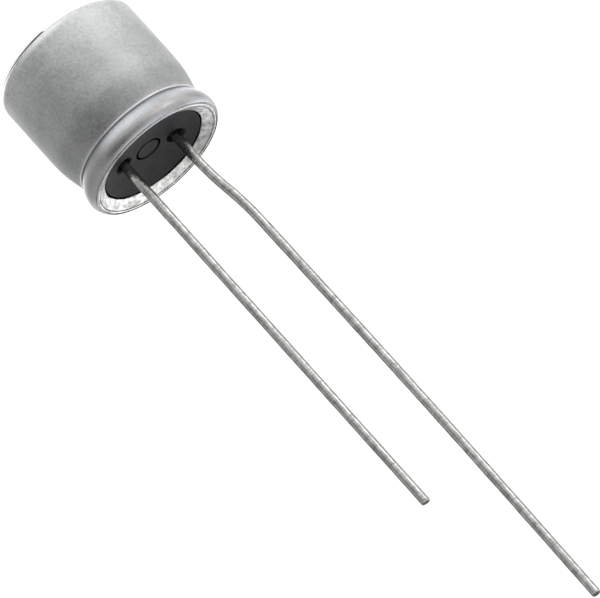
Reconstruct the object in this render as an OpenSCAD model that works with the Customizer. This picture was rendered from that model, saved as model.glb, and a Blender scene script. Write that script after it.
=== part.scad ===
// Radial aluminium electrolytic capacitor, standing on the closed end of its can.
// Origin: centre of the closed end, on its outer face. +Z: along the can, out of the open end.
// The cathode lead is on the +X side and the anode lead on the -X side.

/* [Can] */
// Outer diameter of the can
can_d = 8; // [7:0.1:10]
// Height of the can, from the closed end to the top of the crimped rim
can_h = 7.8; // [7.2:0.1:16]
// Thickness of the can's wall
wall = 0.3; // [0.2:0.02:0.34]
// Outside radius of the edge round the closed end
corner_r = 0.75; // [0.45:0.05:1.2]

/* [Crimp] */
// Depth of the rolled groove that grips the bung
groove_depth = 0.38; // [0.25:0.01:0.45]
// Long radius over which the wall tapers into the groove
taper_r = 7; // [4:0.5:10]
// How far the crest of the bead lies inside the can's wall
bead_inset = 0.05; // [0:0.01:0.15]
// Radius of the bead between the groove and its crest
flank_r = 1.4; // [1:0.05:1.8]
// Radius of the bead from its crest up to the rim
rim_r = 0.56; // [0.45:0.01:0.7]
// Angle that the upper bead turns through before the edge of the rim
rim_angle = 60; // [50:1:70]
// Width of the lip's sloping face, from the rim in to the mouth
lip_w = 0.67; // [0.5:0.01:0.8]
// How far the lip's inner edge drops below the rim
lip_drop = 0.36; // [0.3:0.01:0.45]

/* [Bung] */
// Distance from the rim down to the raised edge of the bung
bung_recess = 0.5; // [0.42:0.01:0.6]
// Width of that raised edge, round the bung's face
edge_w = 0.2; // [0.1:0.02:0.3]
// How far the face lies below its raised edge
face_depth = 0.35; // [0.1:0.05:0.45]
// Thickness of the rubber bung, inside its raised edge
bung_t = 1.6; // [1.4:0.05:2.2]
// Gap between the bung's raised edge and the lip round it
crevice = 0.06; // [0.03:0.01:0.12]
// Diameter of the ring moulded in the middle of the bung's face
ring_d = 1.36; // [1:0.02:1.6]
// Width and depth of that ring's line
ring_w = 0.12; // [0.04:0.01:0.16]

/* [Leads] */
// Diameter of the tinned wire leads
lead_d = 0.5; // [0.4:0.05:0.7]
// Distance between the centres of the bung's two holes
hole_pitch = 3.2; // [2.8:0.05:3.6]
// How far the anode lead is set outwards beyond the bung
anode_jog = 0.4; // [0.1:0.05:0.6]
// Height of the jog's start above the bung's face
jog_start = 1.5; // [1:0.5:5]
// Length over which the anode lead is set outwards
jog_len = 5; // [3:0.5:8]
// Length of the cathode lead beyond the bung's face
cathode_len = 24.15; // [12:0.05:40]
// Length of the anode lead beyond the bung's face
anode_len = 33; // [14:0.05:50]
// Chamfer on the cropped ends of the leads
tip_chamfer = 0.06; // [0.02:0.01:0.1]
// Diameter of the weld at the foot of each lead
weld_d = 0.76; // [0.72:0.02:0.84]
// Height of that weld, which narrows to the wire
weld_h = 0.25; // [0.15:0.05:0.3]

/* [Tabs] */
// Diameter of the round boss that fills each hole of the bung
boss_d = 0.96; // [0.9:0.02:1.2]
// Depth of the pit left above each boss, where the lead is welded on
pit_depth = 0.35; // [0.2:0.05:0.5]
// Length of boss that stands out below the bung
boss_below = 0.2; // [0.1:0.05:0.3]
// Thickness of the flattened paddle that reaches into the winding
paddle_t = 0.2; // [0.15:0.01:0.25]
// Width of the paddle, round its curve
paddle_w = 1.1; // [0.8:0.05:1.3]

/* [Winding] */
// Radius of the open core left by the winding mandrel
core_r = 0.7; // [0.5:0.05:0.9]
// Thickness of the etched anode foil
anode_foil_t = 0.1; // [0.08:0.01:0.12]
// Thickness of the cathode foil
cathode_foil_t = 0.05; // [0.03:0.01:0.06]
// Thickness of each separator paper
paper_t = 0.05; // [0.04:0.01:0.06]
// Thickness of the tape that closes the winding
tape_t = 0.05; // [0.04:0.01:0.06]
// Gap between neighbouring layers
layer_gap = 0.015; // [0.01:0.005:0.02]
// Height of bare paper beyond the foils at each end
paper_margin = 0.3; // [0.2:0.05:0.4]
// Space between the closed end and the winding
floor_gap = 0.15; // [0.1:0.05:0.4]
// Space between the winding and the bung
top_gap = 0.5; // [0.35:0.05:0.7]
// Space between the winding and the can's wall
side_gap = 0.12; // [0.08:0.02:0.3]

/* [Hidden] */
$fn = 96;

fit = 0.01;                          // clearance of the bung in the can and on the bosses
link_inset = 0.002;                  // how far the straight piece of the jog lies inside its bends
paddle_gap = 0.04;                   // clearance between a paddle and the layers beside it
bump_flat = 30;                      // half angle over which layers lie level on a paddle
bump_end = 75;                       // half angle at which they are back on the spiral
spiral_step = 15;                    // angle between the points of a wound strip

can_r = can_d / 2;
tab_x = hole_pitch / 2;
anode_x = tab_x + anode_jog;

// The crimp, worked out from the rim downwards
bead_r = can_r - bead_inset;
bead_z = can_h - rim_r * sin(rim_angle);
neck_r = can_r - groove_depth;
flank_angle = acos(1 - (bead_r - neck_r) / flank_r);
neck_z = bead_z - flank_r * sin(flank_angle);
taper_angle = acos(1 - groove_depth / taper_r);
taper_z = neck_z - taper_r * sin(taper_angle);
rim_edge = [bead_r - rim_r + rim_r * cos(rim_angle), can_h];
mouth_r = rim_edge.x - lip_w;
lip_edge = [mouth_r, can_h - lip_drop];
lip_dir = (lip_edge - rim_edge) / norm(lip_edge - rim_edge);
lip_under = lip_edge + wall * [-lip_dir.y, lip_dir.x];

// The bung and what stands in it
bung_edge = can_h - bung_recess;
bung_top = bung_edge - face_depth;
bung_bottom = bung_top - bung_t;
weld_z = bung_top - pit_depth;
boss_bottom = bung_bottom - boss_below;

// The winding: one turn is anode foil, paper, cathode foil, paper
foil_gap = paper_t + 2 * layer_gap;
turn_pitch = anode_foil_t + cathode_foil_t + 2 * foil_gap;
lift = paddle_t + 2 * paddle_gap;
winding_bottom = wall + floor_gap;
winding_top = bung_bottom - top_gap;
winding_r = min(inside_corner_r(winding_bottom), inside_taper_r(winding_top)) - side_gap - lift - tape_t;
turns = floor(((winding_r - core_r) / turn_pitch - 1) * 360 / spiral_step) * spiral_step / 360;
cathode_foil_in = anode_foil_t + foil_gap;
anode_turn = round((tab_x - lift / 2 - core_r) / turn_pitch - 0.5);
cathode_turn = round((tab_x - lift / 2 - core_r - cathode_foil_in) / turn_pitch);
anode_paddle_r = core_r + (anode_turn + 0.5) * turn_pitch + paddle_gap;
cathode_paddle_r = core_r + cathode_turn * turn_pitch + cathode_foil_in + paddle_gap;

// Points of an arc after its first point, up to and with its last
function arc_on(centre, r, from, to, steps = 10) =
    [for (i = [1:steps]) let (a = from + (to - from) * i / steps) centre + r * [cos(a), sin(a)]];

// The can's side above a height on the taper, moved inwards by a depth: taper, groove, bead
function upper_side(depth, from_angle = 0) = concat(
    arc_on([can_r - taper_r, taper_z], taper_r - depth, from_angle, taper_angle),
    depth > 0 ? arc_on([neck_r, neck_z], depth, 180 + taper_angle, 180 - flank_angle, 6) : [],
    arc_on([bead_r - flank_r, bead_z], flank_r - depth, -flank_angle, 0));

// The whole of the can's side, from the middle of the closed end to the crest of the bead
function can_side(depth) = concat(
    [[0, depth], [can_r - corner_r, depth]],
    arc_on([can_r - corner_r, corner_r], corner_r - depth, -90, 0, 8),
    [[can_r - depth, taper_z]],
    upper_side(depth));

// Height of the underside of the lip at a radius
function lip_underside(r) = lip_under.y + (r - lip_under.x) * lip_dir.y / lip_dir.x;

// Inside radius of the can at a height in its bottom corner, or on its taper
function inside_corner_r(z) = can_r - corner_r
    + sqrt(pow(corner_r - wall, 2) - pow(max(0, corner_r - z), 2));
function inside_taper_r(z) = can_r - taper_r
    + sqrt(pow(taper_r - wall, 2) - pow(max(0, z - taper_z), 2));

// 1 on a paddle, 0 away from it, and smooth between
function bump(turned) =
    let (off = abs(turned))
    off <= bump_flat ? 1 :
    off >= bump_end ? 0 :
    (1 + cos(180 * (off - bump_flat) / (bump_end - bump_flat))) / 2;

// Angle from the nearest place where a strip passes the direction given
function turned_from(a, direction) = (a - direction + 180) % 360 - 180;

// Radius of the spiral after a turned angle; layers from the cathode foil out are raised a turn earlier
function spiral_r(a, depth) =
    let (cathode_start = 360 * (cathode_turn + (depth < cathode_foil_in ? 1 : 0)) - 90)
    core_r + depth + turn_pitch * a / 360
    + (a > 360 * anode_turn + 90 ? lift * bump(turned_from(a, 180)) : 0)
    + (a > cathode_start ? lift * bump(turned_from(a, 0)) : 0);

// A strip wound on the spiral, its inner face at a depth in the turn
module wound_strip(depth, thickness, bottom, top, from = 0, to = 360 * turns) {
    inner = [for (a = [from:spiral_step:to]) spiral_r(a, depth) * [cos(a), sin(a)]];
    outer = [for (a = [to:-spiral_step:from]) (spiral_r(a, depth) + thickness) * [cos(a), sin(a)]];
    translate([0, 0, bottom])
        linear_extrude(top - bottom) polygon(concat(inner, outer));
}

// A cropped wire end, standing on the given height
module wire_end(x, z) {
    translate([x, 0, z - tip_chamfer])
        cylinder(h = tip_chamfer, r1 = lead_d / 2, r2 = lead_d / 2 - tip_chamfer);
}

// A straight length of lead wire
module wire(x, from, to) {
    translate([x, 0, from]) cylinder(h = to - from, d = lead_d);
}

// Foot of a lead: the weld that holds it on its boss, with the wire above it
module foot(x, to) {
    translate([x, 0, weld_z]) cylinder(h = weld_h, d1 = weld_d, d2 = lead_d);
    wire(x, weld_z + weld_h, to);
}

// Boss in the bung with its paddle, which is curved as the winding is
module tab(side, paddle_r) {
    half_angle = paddle_w / (paddle_r + paddle_t / 2) * 90 / PI;
    translate([side * tab_x, 0, boss_bottom])
        cylinder(h = weld_z - boss_bottom, d = boss_d);
    rotate([0, 0, (side > 0 ? 0 : 180) - half_angle])
        translate([0, 0, winding_bottom + paper_margin])
            rotate_extrude(angle = 2 * half_angle)
                translate([paddle_r, 0])
                    square([paddle_t, boss_bottom + boss_below / 2 - winding_bottom - paper_margin]);
}

// Drawn can with a rolled groove and its mouth curled over the bung
module can() {
    outside = concat(
        can_side(0),
        arc_on([bead_r - rim_r, bead_z], rim_r, 0, rim_angle),
        [lip_edge, lip_under]);
    inside = concat(can_side(wall), [[bead_r - wall, lip_underside(bead_r - wall)]]);
    color([0.78, 0.79, 0.8])
        rotate_extrude()
            polygon(concat(outside, [for (i = [len(inside) - 1:-1:0]) inside[i]]));
}

// Rubber bung, gripped by the groove and held down by the lip
module bung() {
    depth = wall + fit;
    bottom_angle = asin(max(0, bung_bottom - taper_z) / (taper_r - depth));
    bottom_r = can_r - taper_r + (taper_r - depth) * cos(bottom_angle);
    face_r = mouth_r - crevice;
    color([0.2, 0.2, 0.21])
        difference() {
            rotate_extrude()
                polygon(concat(
                    [[0, bung_bottom], [bottom_r, bung_bottom]],
                    bung_bottom < taper_z ? [[can_r - depth, taper_z]] : [],
                    upper_side(depth, bottom_angle),
                    [[bead_r - depth, lip_underside(bead_r - depth) - 2 * fit],
                     [face_r, lip_underside(face_r) - 2 * fit],
                     [face_r, bung_edge],
                     [face_r - edge_w / 2, bung_edge],
                     [face_r - edge_w, bung_top],
                     [0, bung_top]]));
            for (side = [-1, 1])
                translate([side * tab_x, 0, bung_bottom - 1])
                    cylinder(h = bung_t + 2, d = boss_d + 2 * fit);
            rotate_extrude()
                translate([ring_d / 2 - ring_w / 2, bung_top - ring_w])
                    square([ring_w, 2 * ring_w]);
        }
}

// Straight, shorter lead
module cathode_lead() {
    tip = bung_top + cathode_len;
    color([0.72, 0.72, 0.73]) {
        foot(tab_x, tip - tip_chamfer);
        wire_end(tab_x, tip);
    }
}

// One bend of the jog, its wire rising from the point given and curving over to -X
module bend(x, z, r, angle) {
    translate([x - r, 0, z])
        rotate([90, 0, 0])
            rotate_extrude(angle = angle) translate([r, 0]) circle(d = lead_d);
}

// Longer lead, set outwards by two opposite bends with a short straight piece where they meet
module anode_lead() {
    tip = bung_top + anode_len;
    jog_z = bung_top + jog_start;
    bend_r = (jog_len * jog_len + anode_jog * anode_jog) / (4 * anode_jog);
    bend_angle = 2 * atan(anode_jog / jog_len);
    link_angle = 0.02;
    link_len = 2 * sqrt(bend_r * link_inset);
    color([0.72, 0.72, 0.73]) {
        foot(-tab_x, jog_z);
        bend(-tab_x, jog_z, bend_r, bend_angle - link_angle);
        translate([-(tab_x + anode_x) / 2, 0, jog_z + jog_len / 2])
            rotate([0, -bend_angle, 0])
                cylinder(h = link_len, d = lead_d - 2 * link_inset, center = true);
        translate([-tab_x - anode_x, 0, 2 * jog_z + jog_len])
            rotate([0, 180, 0])
                bend(-tab_x, jog_z, bend_r, bend_angle - link_angle);
        wire(-anode_x, jog_z + jog_len, tip - tip_chamfer);
        wire_end(-anode_x, tip);
    }
}

// Aluminium tab of the cathode foil
module cathode_tab() {
    color([0.82, 0.83, 0.84]) tab(1, cathode_paddle_r);
}

// Aluminium tab of the anode foil
module anode_tab() {
    color([0.82, 0.83, 0.84]) tab(-1, anode_paddle_r);
}

// Etched and oxidised anode foil, all its turns in one strip
module anode_foil() {
    color([0.6, 0.6, 0.62])
        wound_strip(0, anode_foil_t, winding_bottom + paper_margin, winding_top - paper_margin);
}

// Cathode foil, wound between the papers
module cathode_foil() {
    color([0.74, 0.75, 0.76])
        wound_strip(cathode_foil_in, cathode_foil_t,
                    winding_bottom + paper_margin, winding_top - paper_margin);
}

// Paper soaked in electrolyte, between the anode foil and the cathode foil round it
module inner_separator() {
    color([0.86, 0.8, 0.66])
        wound_strip(anode_foil_t + layer_gap, paper_t, winding_bottom, winding_top);
}

// Paper soaked in electrolyte, outside the cathode foil
module outer_separator() {
    color([0.86, 0.8, 0.66])
        wound_strip(cathode_foil_in + cathode_foil_t + layer_gap, paper_t, winding_bottom, winding_top);
}

// Tape once round the winding, over the end of the strips
module winding_tape() {
    color([0.8, 0.7, 0.45])
        wound_strip(0, tape_t, winding_bottom + paper_margin, winding_top - paper_margin,
                    360 * turns + spiral_step, 360 * turns + 360);
}

can();
bung();
cathode_lead();
anode_lead();
cathode_tab();
anode_tab();
anode_foil();
cathode_foil();
inner_separator();
outer_separator();
winding_tape();
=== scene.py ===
import math

import bmesh
import bpy
from mathutils import Matrix, Vector


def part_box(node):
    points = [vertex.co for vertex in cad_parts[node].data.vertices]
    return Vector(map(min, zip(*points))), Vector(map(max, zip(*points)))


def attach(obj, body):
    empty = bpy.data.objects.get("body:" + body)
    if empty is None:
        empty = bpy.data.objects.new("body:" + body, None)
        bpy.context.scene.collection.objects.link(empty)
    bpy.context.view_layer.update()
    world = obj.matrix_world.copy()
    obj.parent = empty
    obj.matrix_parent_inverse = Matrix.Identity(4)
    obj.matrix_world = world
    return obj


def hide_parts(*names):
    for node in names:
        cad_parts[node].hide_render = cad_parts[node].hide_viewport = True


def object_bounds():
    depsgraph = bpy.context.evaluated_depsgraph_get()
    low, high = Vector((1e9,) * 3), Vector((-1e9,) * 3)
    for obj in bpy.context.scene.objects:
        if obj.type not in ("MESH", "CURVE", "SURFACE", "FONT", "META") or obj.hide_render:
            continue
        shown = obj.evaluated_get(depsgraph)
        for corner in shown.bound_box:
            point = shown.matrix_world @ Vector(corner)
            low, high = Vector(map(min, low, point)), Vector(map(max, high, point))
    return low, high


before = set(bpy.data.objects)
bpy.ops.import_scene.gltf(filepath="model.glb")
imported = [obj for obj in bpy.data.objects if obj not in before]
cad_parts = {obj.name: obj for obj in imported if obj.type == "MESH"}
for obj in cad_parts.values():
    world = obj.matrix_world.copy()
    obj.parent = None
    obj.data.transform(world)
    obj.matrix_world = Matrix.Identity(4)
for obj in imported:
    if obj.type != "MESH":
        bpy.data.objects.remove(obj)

cad_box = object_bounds()

MM = 0.001

# ---------------------------------------------------------------- sizes, in millimetres, from the CAD boxes
can_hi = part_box("can")[1] / MM
cathode_lo, cathode_hi = (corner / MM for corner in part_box("cathode_lead"))
anode_lo, anode_hi = (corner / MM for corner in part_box("anode_lead"))
bung_lo, bung_hi = (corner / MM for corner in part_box("bung"))

CAN_R = can_hi.x
CAN_H = can_hi.z
EDGE_Z = bung_hi.z
BUNG_BOTTOM = bung_lo.z
WELD_Z = cathode_lo.z
WELD_R = (cathode_hi.x - cathode_lo.x) / 2
TAB_X = (cathode_lo.x + cathode_hi.x) / 2

# sizes of the CAD's pieces that their boxes don't give
WALL = 0.3               # wall of the can
CORNER_R = 0.75          # rounding of the closed end's edge
GROOVE_DEPTH = 0.38      # depth of the rolled groove
TAPER_R = 7.0            # radius of the side's curve into the groove
BEAD_INSET = 0.05        # how far the bead stays inside the can's radius
FLANK_R = 1.4            # radius of the bead below its widest place
RIM_R = 0.56             # radius of the bead above it
RIM_ANGLE = 60.0         # degrees of that arc, up to the rim's edge
LIP_W = 0.67             # width of the lip's sloping face
LIP_DROP = 0.36          # how far that face drops to the mouth
CREVICE = 0.06           # gap between the mouth and the rubber
FACE_DEPTH = 0.35        # bung's face below its raised edge
RING_R = 0.68            # moulded ring on the face, to the middle of its groove
RING_W = 0.12            # width of that groove
HOLE_R = 0.49            # pits round the leads
WIRE_R = 0.25            # leads
WELD_H = 0.25            # height of the cone at a lead's foot
JOG_START = 1.5          # anode lead's double bend, above the face
JOG_LEN = 5.0            # length of that bend
TIP_CHAMFER = 0.06       # rounding of the cropped tips

FACE_Z = EDGE_Z - FACE_DEPTH
BEAD_R = CAN_R - BEAD_INSET
BEAD_Z = CAN_H - RIM_R * math.sin(math.radians(RIM_ANGLE))
NECK_R = CAN_R - GROOVE_DEPTH
FLANK_ANGLE = math.degrees(math.acos(1 - (BEAD_R - NECK_R) / FLANK_R))
NECK_Z = BEAD_Z - FLANK_R * math.sin(math.radians(FLANK_ANGLE))
TAPER_ANGLE = math.degrees(math.acos(1 - GROOVE_DEPTH / TAPER_R))
TAPER_Z = NECK_Z - TAPER_R * math.sin(math.radians(TAPER_ANGLE))
RIM_EDGE = (BEAD_R - RIM_R + RIM_R * math.cos(math.radians(RIM_ANGLE)), CAN_H)
MOUTH_R = RIM_EDGE[0] - LIP_W
LIP_EDGE = (MOUTH_R, CAN_H - LIP_DROP)
LIP_SLOPE = math.atan2(LIP_DROP, LIP_W)
LIP_UNDER = (LIP_EDGE[0] + WALL * math.sin(LIP_SLOPE), LIP_EDGE[1] - WALL * math.cos(LIP_SLOPE))
ANODE_X = anode_lo.x + WIRE_R
JOG = abs(TAB_X + ANODE_X)

# fineness of the meshes
CAN_SEGMENTS = 288       # round the can
BUNG_SEGMENTS = 192
HOLE_SEGMENTS = 96
WIRE_SIDES = 40
WIRE_STEP = 0.12         # height between a wire's rings
SAME_POINT = 1e-5        # points of an outline nearer than this are one


# ---------------------------------------------------------------- outlines
def arc(cx, cz, r, start, end, steps):
    """Points of an arc in (r, z), both ends included, angles in degrees."""
    return [(cx + r * math.cos(math.radians(start + (end - start) * i / steps)),
             cz + r * math.sin(math.radians(start + (end - start) * i / steps)))
            for i in range(steps + 1)]


def line(a, b, steps):
    """Points of a straight line from a to b, both ends included."""
    return [(a[0] + (b[0] - a[0]) * i / steps, a[1] + (b[1] - a[1]) * i / steps)
            for i in range(steps + 1)]


def rounded(points, radius, steps=5):
    """Three points' corner as an arc-like curve that starts and ends at the radius from the corner."""
    a, corner, b = (Vector(p) for p in points)
    start = corner + (a - corner).normalized() * radius
    end = corner + (b - corner).normalized() * radius
    curve = []
    for i in range(steps + 1):
        t = i / steps
        curve.append(tuple((1 - t) ** 2 * start + 2 * t * (1 - t) * corner + t * t * end))
    return curve


def joined(*parts):
    """Parts of an outline end to end, with no point twice."""
    points = []
    for part in parts:
        for p in part:
            if not points or math.dist(points[-1], p) > SAME_POINT:
                points.append(p)
    if math.dist(points[0], points[-1]) < SAME_POINT:
        points.pop()
    return points


def turned(name, outline, segments):
    """The closed outline (r, z) in millimetres, turned round the Z axis, as a mesh object."""
    bm = bmesh.new()
    rings = []
    for r, z in outline:
        if r < SAME_POINT:
            rings.append([bm.verts.new((0, 0, z * MM))])
            continue
        rings.append([
            bm.verts.new((r * MM * math.cos(a), r * MM * math.sin(a), z * MM))
            for a in (2 * math.pi * i / segments for i in range(segments))])
    for low, high in zip(rings, rings[1:] + rings[:1]):
        for i in range(segments):
            j = (i + 1) % segments
            if len(low) == 1 and len(high) == 1:
                continue
            if len(low) == 1:
                bm.faces.new((low[0], high[j], high[i]))
            elif len(high) == 1:
                bm.faces.new((low[i], low[j], high[0]))
            else:
                bm.faces.new((low[i], low[j], high[j], high[i]))
    return finished(name, bm)


def finished(name, bm):
    """A smooth-shaded object of the mesh, its faces turned outwards."""
    bmesh.ops.recalc_face_normals(bm, faces=bm.faces)
    mesh = bpy.data.meshes.new(name)
    bm.to_mesh(mesh)
    bm.free()
    for face in mesh.polygons:
        face.use_smooth = True
    piece = bpy.data.objects.new(name, mesh)
    bpy.context.scene.collection.objects.link(piece)
    return piece


def waves(place, terms):
    """Sum of sine waves at a place: (waves per unit, height, phase) each."""
    return sum(height * math.sin(count * place + phase) for count, height, phase in terms)


def smoothstep(value, low, high):
    """0 at low and 1 at high, clamped, and smooth between."""
    t = min(1.0, max(0.0, (value - low) / (high - low)))
    return t * t * (3 - 2 * t)


# ---------------------------------------------------------------- the can
CREASE_R = 0.02          # rounding of the groove's bottom
RIDGE_W = 0.13           # width of the ridge that the groove's roller leaves on the can's side
RIDGE_H = 0.035          # height of that ridge
LIP_ROUND = 0.05         # rounding of the lip's inner edge
RIM_ROUND = 0.16         # rounding between the bead and the lip's sloping face
FLAT_RINGS = (1.2, 2.4, 3.1)   # the mesh's rings on the closed end
INNER_RING = 2.0         # the mesh's ring on the inside of the closed end
CORNER_LEAD = 0.02       # flat ring's distance from the rounded corner
SIDE_LEAD = 0.05         # side ring's distance from the rounded corner
SLOPE_START = 0.12       # straight part of the sloping face: from the rim's edge
SLOPE_END = 0.1          # and from the lip's edge
UNDER_LEAD = 0.02        # ring's distance from the lip's lower corner


def can_outline():
    """Outside from the middle of the closed end up, over the lip, and back down the inside."""
    rise = math.tan(LIP_SLOPE)
    inner_r = BEAD_R - WALL
    under_end = (inner_r, LIP_UNDER[1] + (inner_r - LIP_UNDER[0]) * rise)
    under_start = (LIP_UNDER[0] - UNDER_LEAD * math.sin(LIP_SLOPE),
                   LIP_UNDER[1] + UNDER_LEAD * math.cos(LIP_SLOPE))
    ridge_angle = math.degrees(RIDGE_W / TAPER_R)
    taper = arc(CAN_R - TAPER_R, TAPER_Z, TAPER_R, 0, TAPER_ANGLE - ridge_angle, steps=26)
    neck = (NECK_R, NECK_Z)
    ridge = ((taper[-1][0] + NECK_R) / 2 + RIDGE_H, (taper[-1][1] + NECK_Z) / 2)
    flank = arc(BEAD_R - FLANK_R, BEAD_Z, FLANK_R, -FLANK_ANGLE, 0, steps=14)
    rim = arc(BEAD_R - RIM_R, BEAD_Z, RIM_R, 0, RIM_ANGLE, steps=18)
    inside = joined(
        arc(BEAD_R - FLANK_R, BEAD_Z, FLANK_R - WALL, 0, -FLANK_ANGLE, steps=8),
        arc(NECK_R, NECK_Z, WALL, 180 - FLANK_ANGLE, 180 + TAPER_ANGLE, steps=6),
        arc(CAN_R - TAPER_R, TAPER_Z, TAPER_R - WALL, TAPER_ANGLE, 0, steps=10),
        arc(CAN_R - CORNER_R, CORNER_R, CORNER_R - WALL, 0, -90, steps=8),
        [(INNER_RING, WALL), (0, WALL)])
    return joined(
        [(r, 0) for r in (0, *FLAT_RINGS, CAN_R - CORNER_R - CORNER_LEAD)],
        arc(CAN_R - CORNER_R, CORNER_R, CORNER_R, -90, 0, steps=16),
        line((CAN_R, CORNER_R + SIDE_LEAD), (CAN_R, TAPER_Z), steps=12),
        taper[:-1],
        rounded((taper[-2], taper[-1], ridge), CREASE_R, steps=3),
        rounded((taper[-1], ridge, neck), CREASE_R, steps=5),
        rounded((ridge, neck, flank[1]), CREASE_R, steps=3),
        flank[1:],
        rim[:-1],
        rounded((rim[-2], RIM_EDGE, LIP_EDGE), RIM_ROUND, steps=8),
        line((RIM_EDGE[0] - SLOPE_START, CAN_H - SLOPE_START * rise),
             (LIP_EDGE[0] + SLOPE_END, LIP_EDGE[1] + SLOPE_END * rise), steps=10),
        rounded((RIM_EDGE, LIP_EDGE, LIP_UNDER), LIP_ROUND, steps=6),
        line(under_start, under_end, steps=4),
        inside)


LIP_WAVES = ((3, 0.016, 0.4), (5, 0.012, 2.1), (8, 0.007, 4.0), (13, 0.005, 1.2), (21, 0.004, 3.3))
ROLL_WAVES = ((7, 0.004, 0.9), (11, 0.003, 2.8), (17, 0.002, 5.1))
WAVY_FROM = 0.05         # how far inside the rim's edge the lip's waviness sets in
WAVY_Z = (7.0, 7.2)      # heights between which it sets in, so that the inside stays round
WAVE_LIFT = 0.35         # how far the lip's waves lift it, as a share of how far they push it out


def make_wavy(shell):
    """Moves the can's mouth a little out of round, the lip most and the bead least."""
    for vertex in shell.data.vertices:
        x, y, z = vertex.co / MM
        if z < NECK_Z:
            continue
        radius = math.hypot(x, y)
        angle = math.atan2(y, x)
        lip = smoothstep(RIM_EDGE[0] - radius, WAVY_FROM, LIP_W) * smoothstep(z, *WAVY_Z)
        roll = smoothstep(z, NECK_Z, BEAD_Z) * (1 - lip)
        shift = waves(angle, LIP_WAVES) * lip + waves(angle, ROLL_WAVES) * roll
        vertex.co.x += shift * x / radius * MM
        vertex.co.y += shift * y / radius * MM
        vertex.co.z += shift * WAVE_LIFT * lip * MM


can_shell = turned("can_shell", can_outline(), CAN_SEGMENTS)
make_wavy(can_shell)

# ---------------------------------------------------------------- the rubber bung
FIT = 0.01               # gap between the rubber and the can
EDGE_ROUND = 0.045       # rounding of the raised edge
EDGE_SET = 0.02          # how far that edge lies below the CAD's
EDGE_SLOPE = 0.1         # distance from the edge to the dish's first ring
DISH_DROP = 0.08         # how far the middle of the dished face lies below the CAD's flat one
RING_LEAD = 0.02         # distance of the dish's nearest rings from the moulded ring's groove
HOLE_ROUND = 0.06        # rounding of the mouths of the two pits
BEVEL_R = 0.06           # bevel of the bung's lower edge, across
BEVEL_ANGLE = 0.4        # and upwards, in degrees of the can's taper
CUTTER_PAST = 1.0        # how far the holes' cutters stand past the rubber
LEVEL_FACES = 80         # weight of the large faces when the bung is shaded


def face_height(r):
    """Height of the bung's dished face at a radius."""
    middle_z = FACE_Z - DISH_DROP
    return middle_z + (EDGE_Z - EDGE_SET - middle_z) * (r / (MOUTH_R - CREVICE)) ** 2


def dish(outer_r, inner_r, steps):
    """Points of the dished face from one radius in to another."""
    radii = (outer_r + (inner_r - outer_r) * i / steps for i in range(steps + 1))
    return [(r, face_height(r)) for r in radii]


def below_lip(r):
    """Height just under the lip at a radius."""
    return LIP_UNDER[1] + (r - LIP_UNDER[0]) * math.tan(LIP_SLOPE) - 2 * FIT


def bung_outline():
    """Half section of the bung, from the middle of its underside round to the middle of its face."""
    depth = WALL + FIT
    low = math.degrees(math.asin(max(0, BUNG_BOTTOM - TAPER_Z) / (TAPER_R - depth)))
    bottom_r = CAN_R - TAPER_R + (TAPER_R - depth) * math.cos(math.radians(low))
    face_r = MOUTH_R - CREVICE
    shoulder_r = BEAD_R - depth
    wall_top = (face_r, below_lip(face_r))
    edge = (face_r, EDGE_Z - EDGE_SET)
    dish_start = (face_r - EDGE_SLOPE, face_height(face_r - EDGE_SLOPE))
    return joined(
        [(r, BUNG_BOTTOM) for r in (0, INNER_RING, bottom_r - BEVEL_R)],
        arc(CAN_R - TAPER_R, TAPER_Z, TAPER_R - depth, low + BEVEL_ANGLE, TAPER_ANGLE, steps=10),
        arc(NECK_R, NECK_Z, depth, 180 + TAPER_ANGLE, 180 - FLANK_ANGLE, steps=6),
        arc(BEAD_R - FLANK_R, BEAD_Z, FLANK_R - depth, -FLANK_ANGLE, 0, steps=8),
        [(shoulder_r, below_lip(shoulder_r)), wall_top],
        rounded((wall_top, edge, dish_start), EDGE_ROUND),
        dish(face_r - EDGE_SLOPE, RING_R + RING_W / 2 + RING_LEAD, steps=14),
        arc(RING_R, face_height(RING_R), RING_W / 2, 0, -180, steps=8),
        dish(RING_R - RING_W / 2 - RING_LEAD, 0, steps=4))


def hole_cutter(side):
    """Solid of one hole through the bung, flared where its mouth is rounded."""
    mouth_z = face_height(TAB_X)
    low_z = BUNG_BOTTOM - CUTTER_PAST
    high_z = mouth_z + CUTTER_PAST
    outline = joined(
        [(0, low_z), (HOLE_R, low_z), (HOLE_R, mouth_z - HOLE_ROUND)],
        arc(HOLE_R + HOLE_ROUND, mouth_z - HOLE_ROUND, HOLE_ROUND, 180, 90, steps=6),
        [(HOLE_R + HOLE_ROUND, high_z), (0, high_z)])
    cutter = turned("hole_cutter", outline, HOLE_SEGMENTS)
    cutter.location.x = side * TAB_X * MM
    return cutter


def apply_modifiers(piece):
    """Replaces the object's mesh with the mesh that its modifiers make."""
    graph = bpy.context.evaluated_depsgraph_get()
    made = bpy.data.meshes.new_from_object(piece.evaluated_get(graph))
    piece.modifiers.clear()
    piece.data = made


bung_rubber = turned("bung_moulding", bung_outline(), BUNG_SEGMENTS)
cutters = [hole_cutter(side) for side in (-1, 1)]
for cutter in cutters:
    cut = bung_rubber.modifiers.new("hole", "BOOLEAN")
    cut.operation = "DIFFERENCE"
    cut.solver = "EXACT"
    cut.object = cutter
bpy.context.view_layer.update()
apply_modifiers(bung_rubber)
for cutter in cutters:
    bpy.data.objects.remove(cutter)
bung_rubber.modifiers.new("level_faces", "WEIGHTED_NORMAL").weight = LEVEL_FACES

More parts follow.
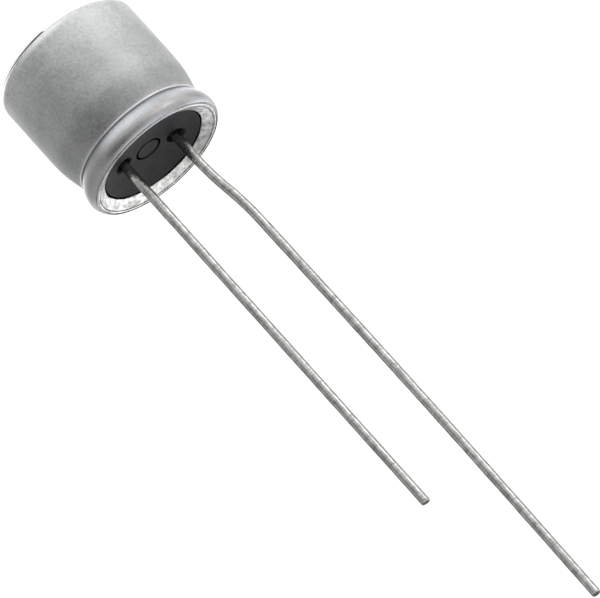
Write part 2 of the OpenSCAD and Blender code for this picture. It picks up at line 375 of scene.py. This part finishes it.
# ---------------------------------------------------------------- the leads
WELD_RINGS = 8           # rings up the cone at a lead's foot
UNEVEN = ((1.9, 0.0025, 1), (4.7, 0.0018, 2))   # unevenness along a wire, as waves
TIP_ANGLES = (30, 60, 85)   # rings of the tip's rounding, in degrees
TIP_FLAT_R = 0.12        # flat middle of the tip
END_SLANT = 0.05         # how far one side of a cropped end lies below the other
SLANT_TURN = 0.6         # direction of that slant, in radians from the plane of the leads
BOW = 0.08               # how far the anode lead bows outwards in the middle of its straight part


def wire_radius(z, side):
    """Radius along a lead: weld at the foot, drawn wire with slight unevenness."""
    weld = 1 - smoothstep(z, WELD_Z, WELD_Z + WELD_H)
    uneven = waves(z, [(count, height, phase * side) for count, height, phase in UNEVEN])
    return WIRE_R + (WELD_R - WIRE_R) * weld + uneven * (1 - weld)


def jog(z):
    """How far the anode lead's double bend has moved it outwards at a height."""
    bend_r = (JOG_LEN ** 2 + JOG ** 2) / (4 * JOG)
    rise = z - FACE_Z - JOG_START
    if rise <= 0:
        return 0.0
    if rise < JOG_LEN / 2:
        return bend_r - math.sqrt(bend_r ** 2 - rise ** 2)
    if rise < JOG_LEN:
        return JOG - (bend_r - math.sqrt(bend_r ** 2 - (JOG_LEN - rise) ** 2))
    return JOG


def bow(z):
    """How far the anode lead's straight part bows outwards between the double bend and the tip."""
    start = FACE_Z + JOG_START + JOG_LEN
    return BOW * math.sin(math.pi * max(0.0, z - start) / (anode_hi.z - start))


def wire(name, side, tip):
    """One lead from its weld to its cropped tip; side is 1 for the cathode and -1 for the anode."""
    bm = bmesh.new()
    shoulder = tip - TIP_CHAMFER
    heights = [WELD_Z + WELD_H * i / WELD_RINGS for i in range(WELD_RINGS + 1)]
    while heights[-1] + WIRE_STEP < shoulder:
        heights.append(heights[-1] + WIRE_STEP)
    heights.append(shoulder)
    rows = [(z, wire_radius(z, side), 0.0) for z in heights]
    rows += [(tip - TIP_CHAMFER * (1 - math.sin(t)), WIRE_R - TIP_CHAMFER * (1 - math.cos(t)), 1.0)
             for t in (math.radians(angle) for angle in TIP_ANGLES)]
    rows.append((tip, TIP_FLAT_R, 1.0))
    rings = []
    for z, radius, cropped in rows:
        centre = side * (TAB_X + (jog(z) + bow(z) if side < 0 else 0.0))
        ring = []
        for i in range(WIRE_SIDES):
            a = 2 * math.pi * i / WIRE_SIDES
            share = 0.5 + 0.5 * math.cos(a - SLANT_TURN * side)
            slant = cropped * END_SLANT * share * radius / WIRE_R
            ring.append(bm.verts.new(((centre + radius * math.cos(a)) * MM,
                                      radius * math.sin(a) * MM, (z - slant) * MM)))
        rings.append(ring)
    for low, high in zip(rings, rings[1:]):
        for i in range(WIRE_SIDES):
            j = (i + 1) % WIRE_SIDES
            bm.faces.new((low[i], low[j], high[j], high[i]))
    bm.faces.new(reversed(rings[0]))
    bm.faces.new(rings[-1])
    sheared = set(rings[-1] + rings[-2])
    for face in bm.faces:
        if all(corner in sheared for corner in face.verts):
            face.material_index = 1
    return finished(name, bm)


cathode_wire = wire("cathode_wire", 1, cathode_hi.z)
anode_wire = wire("anode_wire", -1, anode_hi.z)


# ---------------------------------------------------------------- nodes of the materials
def value_of(tree, socket, value):
    """Links the socket to another, or sets its number."""
    if isinstance(value, bpy.types.NodeSocket):
        tree.links.new(value, socket)
    else:
        socket.default_value = value


def node(tree, kind, inputs=None, **settings):
    """A new node with its settings, its inputs linked or set."""
    made = tree.nodes.new("ShaderNode" + kind)
    for key, value in settings.items():
        setattr(made, key, value)
    for key, value in (inputs or {}).items():
        value_of(tree, made.inputs[key], value)
    return made


def calc(tree, operation, *values):
    """A Math node's result."""
    made = node(tree, "Math", operation=operation)
    for socket, value in zip(made.inputs, values):
        value_of(tree, socket, value)
    return made.outputs[0]


def add(tree, a, b):
    """The sum of two values."""
    return calc(tree, "ADD", a, b)


def times(tree, a, b):
    """The product of two values."""
    return calc(tree, "MULTIPLY", a, b)


def remap(tree, value, low, high, to_low=0.0, to_high=1.0, smooth=False):
    """The value moved from one range to another, clamped."""
    made = node(tree, "MapRange", {"Value": value, "From Min": low, "From Max": high,
                                   "To Min": to_low, "To Max": to_high},
                interpolation_type="SMOOTHSTEP" if smooth else "LINEAR")
    return made.outputs["Result"]


EVEN = 0.2               # how far from 0.5 noise reaches, for an even spread
PATCHY = 0.15            # and for harder patches


def spread(tree, value, to_low=0.0, to_high=1.0, reach=EVEN):
    """Noise, which lies round 0.5, spread over a range."""
    return remap(tree, value, 0.5 - reach, 0.5 + reach, to_low, to_high)


def where(tree, mask, amount, elsewhere=1.0):
    """One number where the mask is 1 and another where it is 0."""
    return remap(tree, mask, 0.0, 1.0, elsewhere, amount)


def mix(tree, factor, a, b):
    """Two colours mixed."""
    made = node(tree, "Mix", data_type="RGBA")
    value_of(tree, made.inputs[0], factor)
    value_of(tree, made.inputs[6], a)
    value_of(tree, made.inputs[7], b)
    return made.outputs[2]


def grey(tree, value, tint):
    """A grey level as a colour with a tint."""
    made = node(tree, "VectorMath", {"Scale": value}, operation="SCALE")
    made.inputs[0].default_value = tint
    return made.outputs[0]


def position_mm(tree):
    """Place on the object in millimetres."""
    place = node(tree, "TexCoord").outputs["Object"]
    return node(tree, "VectorMath", {0: place, "Scale": 1 / MM}, operation="SCALE").outputs[0]


def parts_of(tree, place):
    """X, Z and the distance from the Z axis of a place."""
    x, y, z = node(tree, "SeparateXYZ", {0: place}).outputs
    return x, z, calc(tree, "SQRT", add(tree, times(tree, x, x), times(tree, y, y)))


def stretched(tree, place, factors):
    """The place with each axis multiplied."""
    return node(tree, "VectorMath", {0: place, 1: factors}, operation="MULTIPLY").outputs[0]


def noise(tree, place, scale, detail=2.0, roughness=0.5):
    """Noise, with its scale in features per millimetre."""
    return node(tree, "TexNoise", {"Vector": place, "Scale": scale, "Detail": detail,
                                   "Roughness": roughness}).outputs[0]


def bump(tree, height, depth_mm):
    """Normal after a bump of that depth."""
    return node(tree, "Bump", {"Height": height, "Distance": depth_mm * MM, "Strength": 1.0}).outputs[0]


def new_material(name, **sockets):
    """A material, its tree and its shader, with uniform values on the shader's own sockets."""
    material = bpy.data.materials.new(name)
    material.use_nodes = True
    shader = material.node_tree.nodes["Principled BSDF"]
    for key, value in sockets.items():
        shader.inputs[key.replace("_", " ")].default_value = value
    return material, material.node_tree, shader


def put(tree, shader, **sockets):
    """Links results to the shader's sockets."""
    for key, value in sockets.items():
        tree.links.new(value, shader.inputs[key.replace("_", " ")])


# ---------------------------------------------------------------- the can's material
# Places in millimetres. A pair is where a mask is 0 and where it is 1.
PRINT_X = 1.7                                        # chord of the dark polarity segment on the closed end
PRINT_Z = 0.26                                       # how far up the corner its print reaches
PRINT_EDGE = 0.02                                    # softness of the print's edge
PRINT_RAGGED = 0.03                                  # how far the grain moves that edge
LIP_BY_R = (RIM_EDGE[0] + 0.06, RIM_EDGE[0] - 0.04)
LIP_BY_Z = (LIP_EDGE[1] - 0.12, LIP_EDGE[1] - 0.04)
BEAD_BY_Z = (NECK_Z - 0.1, NECK_Z + 0.1)
BEAD_BY_R = (3.3, 3.5)
SEAM_R = RIM_EDGE[0] - 0.13                          # fine dark line of painted shade along the step that the crimping tool leaves between the bead and the lip
SEAM_REACH = (0.05, 0.02)                            # distance from that line
SEAM_BY_Z = (LIP_EDGE[1], LIP_EDGE[1] + 0.1)
CREST_BELOW = (NECK_Z + 0.55, NECK_Z + 0.8)          # crest of the bead, where a darker, warmer band of reflection is painted
CREST_ABOVE = (CAN_H - 0.2, CAN_H - 0.45)
GROOVE_SIDE_BELOW = (TAPER_Z + 0.3, TAPER_Z + 1.3)         # side beside the groove, darkened with painted shade
GROOVE_SIDE_ABOVE = (NECK_Z - 0.1, NECK_Z - 0.4)
CORNER_BY_Z = (0.6, 0.35)                            # polished corner of the closed end
END_BY_Z = (3.4, 0.7)                                # side, paler towards the closed end
RIDGE_BELOW = (-RIDGE_W - 0.04, -RIDGE_W)            # ridge's polish and painted highlight, height from the crease
RIDGE_ABOVE = (-0.02, -0.05)
CREASE_BELOW = (-0.06, -0.03)                        # painted shade in the crease, height from the crease
CREASE_ABOVE = (0.05, 0.02)

MOTTLE = 0.09                                        # grain's part of the grey, both ways
BARE_GREY = (0.58, 0.66)                             # bare metal, over the larger clouds
CREST_REFLECTION_SHADE = 0.85                                   # shares of that grey: painted dark reflection on the crest, painted shade beside the groove, paler towards the closed end
GROOVE_SIDE_SHADE = 0.82
END_SHADE = 1.25
SCUFFED = (0.35, 0.62)                               # part of the scuffs' noise that shows
SCUFF_GREY = (0.42, 0.92)
RIDGE_HIGHLIGHT_MIX = 0.9                                      # strength of the painted highlight on the ridge and of the painted shade along the seam and in the crease
SEAM_SHADE_MIX = 0.75
CREASE_SHADE_MIX = 0.7
BEAD_MOTTLE = 0.35                                   # share of the mottle left on the bead

SIDE_ROUGH = (0.42, 0.50)                            # roughness, over the grain
CLOUD_ROUGH = 0.02                                   # what the clouds add to it, both ways
BEAD_POLISH = -0.16                                  # what the bead, the ridge and corner, and the print add
RIDGE_POLISH = -0.24
PRINT_ROUGH = 0.5
LIP_ROUGH = (0.42, 0.18)
BARE_SPECULAR = 0.5
PRINT_SPECULAR = 0.05

BUMP_DEPTH = 0.022                                   # depth of the bump, and shares of it
SIDE_GRAIN = 0.6
BEAD_GRAIN = 0.2
ROLLED_HEIGHT = 0.5
SCUFF_HEIGHT = 2.4

SIDE_TINT = (0.985, 1.0, 1.0)
BEAD_TINT = (0.96, 0.985, 1.02)
# warm tint of the painted dark reflection on the bead's crest
CREST_REFLECTION_TINT = (1.01, 0.995, 0.975)
LIP_TINT = (1.0, 0.995, 0.98)
# painted highlight on the ridge
RIDGE_HIGHLIGHT_COLOUR = (0.84, 0.84, 0.84, 1.0)
# painted shade along the seam and in the crease
LINE_SHADE_COLOUR = (0.12, 0.12, 0.125, 1.0)
PRINT_COLOUR = (0.035, 0.036, 0.04, 1.0)


def can_material():
    """Satin drawn aluminium: polished bead and ridge, scuffed lip and print, with a painted highlight on the
    ridge, painted shade along the seam, in the crease and beside the groove, and a painted dark reflection on
    the bead's crest.
    """
    material, tree, shader = new_material("can_aluminium")
    place = position_mm(tree)
    x, z, radius = parts_of(tree, place)
    grain = noise(tree, place, 7.0, detail=3.0, roughness=0.6)
    cloud = noise(tree, place, 1.3)
    rolled = noise(tree, stretched(tree, place, (0.9, 0.9, 14.0)), 1.6)
    scuffs = noise(tree, stretched(tree, place, (1.0, 1.0, 2.0)), 2.6, detail=3.0, roughness=0.65)

    on_lip = times(tree, remap(tree, radius, *LIP_BY_R, smooth=True),
                   remap(tree, z, *LIP_BY_Z, smooth=True))
    on_bead = times(tree, remap(tree, z, *BEAD_BY_Z, smooth=True), remap(tree, radius, *BEAD_BY_R))
    from_seam = calc(tree, "ABSOLUTE", calc(tree, "SUBTRACT", radius, SEAM_R))
    # mask of the painted shade along the seam
    seam_shade = times(tree, remap(tree, from_seam, *SEAM_REACH, smooth=True), remap(tree, z, *SEAM_BY_Z))
    # mask of the painted dark reflection band on the bead's crest
    crest_reflection = times(tree, remap(tree, z, *CREST_BELOW, smooth=True), remap(tree, z, *CREST_ABOVE, smooth=True))
    # mask of the painted shade on the side beside the groove
    drawn = times(tree, remap(tree, z, *GROOVE_SIDE_BELOW, smooth=True), remap(tree, z, *GROOVE_SIDE_ABOVE, smooth=True))
    corner = remap(tree, z, *CORNER_BY_Z, smooth=True)
    from_crease = calc(tree, "SUBTRACT", z, NECK_Z)
    ridge = times(tree, remap(tree, from_crease, *RIDGE_BELOW, smooth=True),
                  remap(tree, from_crease, *RIDGE_ABOVE))
    # mask of the painted shade in the crease
    crease_shade = times(tree, remap(tree, from_crease, *CREASE_BELOW), remap(tree, from_crease, *CREASE_ABOVE))
    ragged = times(tree, grain, PRINT_RAGGED)
    printed = times(tree, remap(tree, add(tree, x, ragged), PRINT_X, PRINT_X + PRINT_EDGE),
                    remap(tree, add(tree, z, ragged), PRINT_Z + PRINT_EDGE, PRINT_Z))

    mottle = times(tree, spread(tree, grain, -MOTTLE, MOTTLE), where(tree, on_bead, BEAD_MOTTLE))
    level = add(tree, mottle, spread(tree, cloud, *BARE_GREY))
    # painted dark reflection on the bead's crest
    level = times(tree, level, where(tree, crest_reflection, CREST_REFLECTION_SHADE))
    # painted shade on the side beside the groove
    level = times(tree, level, where(tree, drawn, GROOVE_SIDE_SHADE))
    level = times(tree, level, remap(tree, z, *END_BY_Z, 1.0, END_SHADE, smooth=True))
    side = mix(tree, on_bead, grey(tree, level, SIDE_TINT), grey(tree, level, BEAD_TINT))
    side = mix(tree, crest_reflection, side, grey(tree, level, CREST_REFLECTION_TINT))
    bare = mix(tree, on_lip, side, grey(tree, remap(tree, scuffs, *SCUFFED, *SCUFF_GREY), LIP_TINT))
    # painted highlight on the ridge
    bare = mix(tree, times(tree, ridge, RIDGE_HIGHLIGHT_MIX), bare, RIDGE_HIGHLIGHT_COLOUR)
    # painted shade lines along the seam and in the crease
    shade_lines = calc(tree, "MAXIMUM", times(tree, seam_shade, SEAM_SHADE_MIX),
                      times(tree, crease_shade, CREASE_SHADE_MIX))
    bare = mix(tree, shade_lines, bare, LINE_SHADE_COLOUR)
    colour = mix(tree, printed, bare, PRINT_COLOUR)

    rough = add(tree, spread(tree, grain, *SIDE_ROUGH), spread(tree, cloud, -CLOUD_ROUGH, CLOUD_ROUGH))
    rough = add(tree, times(tree, on_bead, BEAD_POLISH), rough)
    rough = add(tree, times(tree, calc(tree, "MAXIMUM", corner, ridge), RIDGE_POLISH), rough)
    lip_rough = spread(tree, scuffs, *LIP_ROUGH, reach=PATCHY)
    rough = add(tree, times(tree, rough, calc(tree, "SUBTRACT", 1.0, on_lip)), times(tree, lip_rough, on_lip))
    rough = add(tree, rough, times(tree, printed, PRINT_ROUGH))

    height = add(tree, times(tree, grain, where(tree, on_bead, BEAD_GRAIN, SIDE_GRAIN)),
                 times(tree, times(tree, rolled, on_bead), ROLLED_HEIGHT))
    height = add(tree, height, times(tree, times(tree, scuffs, on_lip), SCUFF_HEIGHT))
    put(tree, shader, Base_Color=colour, Metallic=calc(tree, "SUBTRACT", 1.0, printed),
        Roughness=rough, Normal=bump(tree, height, BUMP_DEPTH),
        Specular_IOR_Level=where(tree, printed, PRINT_SPECULAR, BARE_SPECULAR))
    return material


# ---------------------------------------------------------------- the other materials
RING_SHADE_REACH = (RING_W * 0.7, RING_W * 0.45)   # distance from the moulded ring's middle: painted shade's mask 0, and 1
RING_SHADE = 0.1                             # painted shade: share of the rubber's grey left in the ring's groove


def rubber_material():
    """Black satin rubber, with painted shade in the moulded ring's groove."""
    material, tree, shader = new_material("bung_rubber")
    place = position_mm(tree)
    grain = noise(tree, place, 11.0, detail=3.0, roughness=0.6)
    cloud = noise(tree, place, 1.8)
    _, _, radius = parts_of(tree, place)
    from_ring = calc(tree, "ABSOLUTE", calc(tree, "SUBTRACT", radius, RING_R))
    # mask of the painted shade in the ring's groove, which also takes the specular out there
    ring = remap(tree, from_ring, *RING_SHADE_REACH)
    level = add(tree, spread(tree, grain, -0.004, 0.004), spread(tree, cloud, 0.013, 0.021))
    level = times(tree, level, where(tree, ring, RING_SHADE))
    put(tree, shader, Base_Color=grey(tree, level, (0.96, 1.0, 0.98)),
        Roughness=spread(tree, grain, 0.5, 0.66), Normal=bump(tree, grain, depth_mm=0.014),
        Specular_IOR_Level=where(tree, ring, 0.0, 0.18))
    return material


EDGE_SHADE_REACH = (0.3, 0.5)                       # how far round the wire the painted shade on its edges reaches: from, and to
EDGE_SHADE = 0.5


def wire_material():
    """Tinned wire: die marks across it, streaks along it, and painted shade on its edges."""
    material, tree, shader = new_material("tinned_wire", Metallic=1.0)
    place = position_mm(tree)
    blotches = noise(tree, stretched(tree, place, (1.0, 1.0, 0.55)), 4.2, detail=3.0, roughness=0.6)
    marks = noise(tree, stretched(tree, place, (0.8, 0.8, 6.5)), 2.2, roughness=0.7)
    streaks = noise(tree, stretched(tree, place, (9.0, 9.0, 0.25)), 1.4)
    level = add(tree, spread(tree, blotches, 0.50, 0.86, reach=PATCHY), spread(tree, marks, -0.14, 0.14))
    # painted shade on the wire's edges, darker as they turn away from the view
    edge = node(tree, "LayerWeight", {"Blend": 0.5}).outputs["Facing"]
    level = times(tree, level, remap(tree, edge, *EDGE_SHADE_REACH, 1.0, EDGE_SHADE))
    height = add(tree, marks, times(tree, streaks, 0.7))
    height = add(tree, height, times(tree, blotches, 1.2))
    put(tree, shader, Base_Color=grey(tree, level, (1.0, 0.99, 0.965)),
        Roughness=spread(tree, blotches, 0.26, 0.12, reach=PATCHY), Normal=bump(tree, height, depth_mm=0.008))
    return material


def cut_material():
    """The sheared metal of a lead's cropped end."""
    material, tree, shader = new_material("cropped_end", Metallic=1.0)
    place = position_mm(tree)
    shear = noise(tree, stretched(tree, place, (14.0, 2.5, 2.5)), 1.3, detail=3.0, roughness=0.6)
    put(tree, shader, Base_Color=grey(tree, spread(tree, shear, 0.04, 0.16), (1.0, 0.98, 0.95)),
        Roughness=spread(tree, shear, 0.35, 0.6), Normal=bump(tree, shear, depth_mm=0.02))
    return material


def tab_material():
    """Pressed aluminium of the tabs."""
    material, tree, shader = new_material("tab_aluminium", Metallic=1.0)
    place = position_mm(tree)
    pressed = noise(tree, stretched(tree, place, (3.0, 3.0, 1.0)), 3.0, detail=3.0)
    put(tree, shader, Base_Color=grey(tree, spread(tree, pressed, 0.62, 0.74), (0.99, 1.0, 1.0)),
        Roughness=spread(tree, pressed, 0.3, 0.45), Normal=bump(tree, pressed, depth_mm=0.01))
    return material


def foil_material(name, greys, roughness, pits):
    """Foil, with fine lines round the winding and pits of the etching."""
    material, tree, shader = new_material(name, Metallic=1.0)
    place = position_mm(tree)
    rolled = noise(tree, stretched(tree, place, (1.0, 1.0, 20.0)), 1.2)
    etched = noise(tree, place, pits, roughness=0.7)
    both = times(tree, add(tree, rolled, etched), 0.5)
    put(tree, shader, Base_Color=grey(tree, spread(tree, both, *greys, reach=PATCHY), (1.0, 1.0, 1.01)),
        Roughness=spread(tree, etched, *roughness), Normal=bump(tree, both, depth_mm=0.006))
    return material


def paper_material():
    """Damp kraft paper, with its fibres round the winding."""
    material, tree, shader = new_material("separator_paper", Specular_IOR_Level=0.4)
    place = position_mm(tree)
    fibres = noise(tree, stretched(tree, place, (1.5, 1.5, 9.0)), 2.6, detail=4.0, roughness=0.7)
    damp = noise(tree, place, 0.9)
    colour = mix(tree, spread(tree, fibres, reach=PATCHY), (0.50, 0.38, 0.21, 1.0), (0.74, 0.63, 0.43, 1.0))
    put(tree, shader, Base_Color=colour, Roughness=spread(tree, damp, 0.45, 0.8, reach=PATCHY),
        Normal=bump(tree, fibres, depth_mm=0.012))
    return material


def tape_material():
    """Amber film tape, slightly rippled."""
    material, tree, shader = new_material("tape_film", Coat_Weight=0.3, Coat_Roughness=0.2)
    place = position_mm(tree)
    ripple = noise(tree, stretched(tree, place, (1.0, 1.0, 3.0)), 1.5)
    colour = mix(tree, spread(tree, ripple, reach=PATCHY), (0.50, 0.33, 0.12, 1.0), (0.66, 0.48, 0.22, 1.0))
    put(tree, shader, Base_Color=colour, Roughness=spread(tree, ripple, 0.3, 0.42),
        Normal=bump(tree, ripple, depth_mm=0.01))
    return material


can_shell.data.materials.append(can_material())
bung_rubber.data.materials.clear()
bung_rubber.data.materials.append(rubber_material())
tin = wire_material()
cut_end = cut_material()
for lead in (cathode_wire, anode_wire):
    lead.data.materials.append(tin)
    lead.data.materials.append(cut_end)

tab_metal = tab_material()
paper = paper_material()
cad_materials = {
    "cathode_tab": tab_metal,
    "anode_tab": tab_metal,
    "anode_foil": foil_material("etched_foil", (0.34, 0.46), (0.55, 0.75), 14.0),
    "cathode_foil": foil_material("plain_foil", (0.58, 0.70), (0.34, 0.48), 8.0),
    "inner_separator": paper,
    "outer_separator": paper,
    "winding_tape": tape_material(),
}
for name, material in cad_materials.items():
    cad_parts[name].data.materials.clear()
    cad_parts[name].data.materials.append(material)

# ---------------------------------------------------------------- pieces on the frame
for piece, cad_node, slot in (
        (can_shell, "can", "can_aluminium"),
        (bung_rubber, "bung", "bung_rubber"),
        (cathode_wire, "cathode_lead", "tinned_wire"),
        (anode_wire, "anode_lead", "tinned_wire")):
    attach(piece, "root")
    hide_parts(cad_node)

# ---------------------------------------------------------------- camera, in metres
VIEW_AZIMUTH = math.radians(27.1)
VIEW_ELEVATION = math.radians(22.6)
VIEW_ROLL = math.radians(138.08)
VIEW_DISTANCE = 1.0
FIELD_WIDTH = 0.02933    # width of the picture at the object
AIM_RIGHT = -0.00054     # picture's centre from the middle of the CAD box
AIM_UP = 0.00153
CLIP_START = 0.05
CLIP_END = 20
SENSOR = 36              # sensor's width, in its own millimetres

toward_camera = Vector((math.sin(VIEW_AZIMUTH), -math.cos(VIEW_AZIMUTH), 0))
to_side = Vector((-math.cos(VIEW_AZIMUTH), -math.sin(VIEW_AZIMUTH), 0))
back = toward_camera * math.cos(VIEW_ELEVATION) + Vector((0, 0, math.sin(VIEW_ELEVATION)))
level_right = -to_side
level_up = back.cross(level_right)
right = level_right * math.cos(VIEW_ROLL) + level_up * math.sin(VIEW_ROLL)
up = level_up * math.cos(VIEW_ROLL) - level_right * math.sin(VIEW_ROLL)

camera = bpy.data.objects.new("camera", bpy.data.cameras.new("camera"))
bpy.context.scene.collection.objects.link(camera)
camera.data.sensor_width = SENSOR
camera.data.lens = camera.data.sensor_width * VIEW_DISTANCE / FIELD_WIDTH
camera.data.clip_start = CLIP_START
camera.data.clip_end = CLIP_END
middle = (cad_box[0] + cad_box[1]) / 2
camera.matrix_world = (
    Matrix.Translation(middle + right * AIM_RIGHT + up * AIM_UP + back * VIEW_DISTANCE)
    @ Matrix((right, up, back)).transposed().to_4x4())
bpy.context.scene.camera = camera

# ---------------------------------------------------------------- floor and light
FLOOR_SIZE = 6.0         # metres
FLOOR_CELLS = 8
FLOOR_GREY = (0.3, 0.3, 0.3, 1)
FLOOR_GLOW = 0.93        # keeps the floor pale under the part
WHITE = (1, 1, 1, 1)

bm = bmesh.new()
bmesh.ops.create_grid(bm, x_segments=FLOOR_CELLS, y_segments=FLOOR_CELLS, size=FLOOR_SIZE / 2)
floor = finished("floor", bm)
floor.location.z = cad_box[0].z
floor.data.materials.append(new_material(
    "floor", Base_Color=FLOOR_GREY, Roughness=0.9, Specular_IOR_Level=0.1,
    Emission_Color=WHITE, Emission_Strength=FLOOR_GLOW)[0])
floor.visible_glossy = False

world = bpy.data.worlds.new("studio")
bpy.context.scene.world = world
world.use_nodes = True
world.cycles.sampling_method = "NONE"
sky = world.node_tree

BASE_LIGHT = 0.40
LEAST_LIGHT = 0.05
SOFT_BOXES = (                        # azimuth, elevation, inner and outer half angle, brightness
    (48, -35, 20, 85, 0.44),          # broad side light
    (62, -20, 4, 13, 1.20),           # strip that draws the line of light on the leads
    (160, -10, 30, 80, 0.50),         # back wall
    (0, -66, 10, 42, 0.42),           # light from the floor
    (180, -45, 5, 32, 0.90),          # light from the floor behind
    (140, 42, 14, 40, 0.75),          # lamp behind, on the right
    (20, 72, 15, 50, 0.55),           # soft light overhead
)
DARK_CARDS = (                        # the same, with how much darker
    (-10, 3, 12, 65, 0.26),           # shade on the camera's side
    (120, -20, 6, 20, 0.38),          # edge that draws the dark line beside the leads' strip
)


def direction(azimuth, elevation):
    """World direction, its azimuth from the camera's towards the upper right of the picture, in degrees."""
    a, e = math.radians(azimuth), math.radians(elevation)
    return (toward_camera * math.cos(a) + to_side * math.sin(a)) * math.cos(e) + Vector((0, 0, math.sin(e)))


def lobe(azimuth, elevation, inner, outer, level):
    """Soft-edged round patch of the world's light."""
    ray = node(sky, "TexCoord").outputs["Generated"]
    middle_ray = tuple(direction(azimuth, elevation).normalized())
    facing = node(sky, "VectorMath", {0: ray, 1: middle_ray}, operation="DOT_PRODUCT").outputs["Value"]
    return remap(sky, facing, math.cos(math.radians(outer)), math.cos(math.radians(inner)),
                 0.0, level, smooth=True)


light = BASE_LIGHT
for soft_box in SOFT_BOXES:
    light = add(sky, light, lobe(*soft_box))
for card in DARK_CARDS:
    light = calc(sky, "SUBTRACT", light, lobe(*card))
light = calc(sky, "MAXIMUM", light, LEAST_LIGHT)
background = sky.nodes["Background"]
background.inputs["Color"].default_value = WHITE
sky.links.new(light, background.inputs["Strength"])


def area_light(name, azimuth, elevation, distance, size, radiance):
    """A square soft light that faces the object, seen only through what it lights."""
    lamp = bpy.data.lights.new(name, "AREA")
    lamp.shape = "SQUARE"
    lamp.size = size
    lamp.energy = radiance * math.pi * size * size
    made = bpy.data.objects.new(name, lamp)
    bpy.context.scene.collection.objects.link(made)
    away = direction(azimuth, elevation)
    made.location = middle + away * distance
    made.rotation_mode = "QUATERNION"
    made.rotation_quaternion = away.to_track_quat("Z", "Y")
    made.visible_camera = False
    made.visible_glossy = False


area_light("top_light", azimuth=170, elevation=62, distance=0.6, size=0.5, radiance=0.9)

bpy.context.scene.view_settings.view_transform = "Standard"
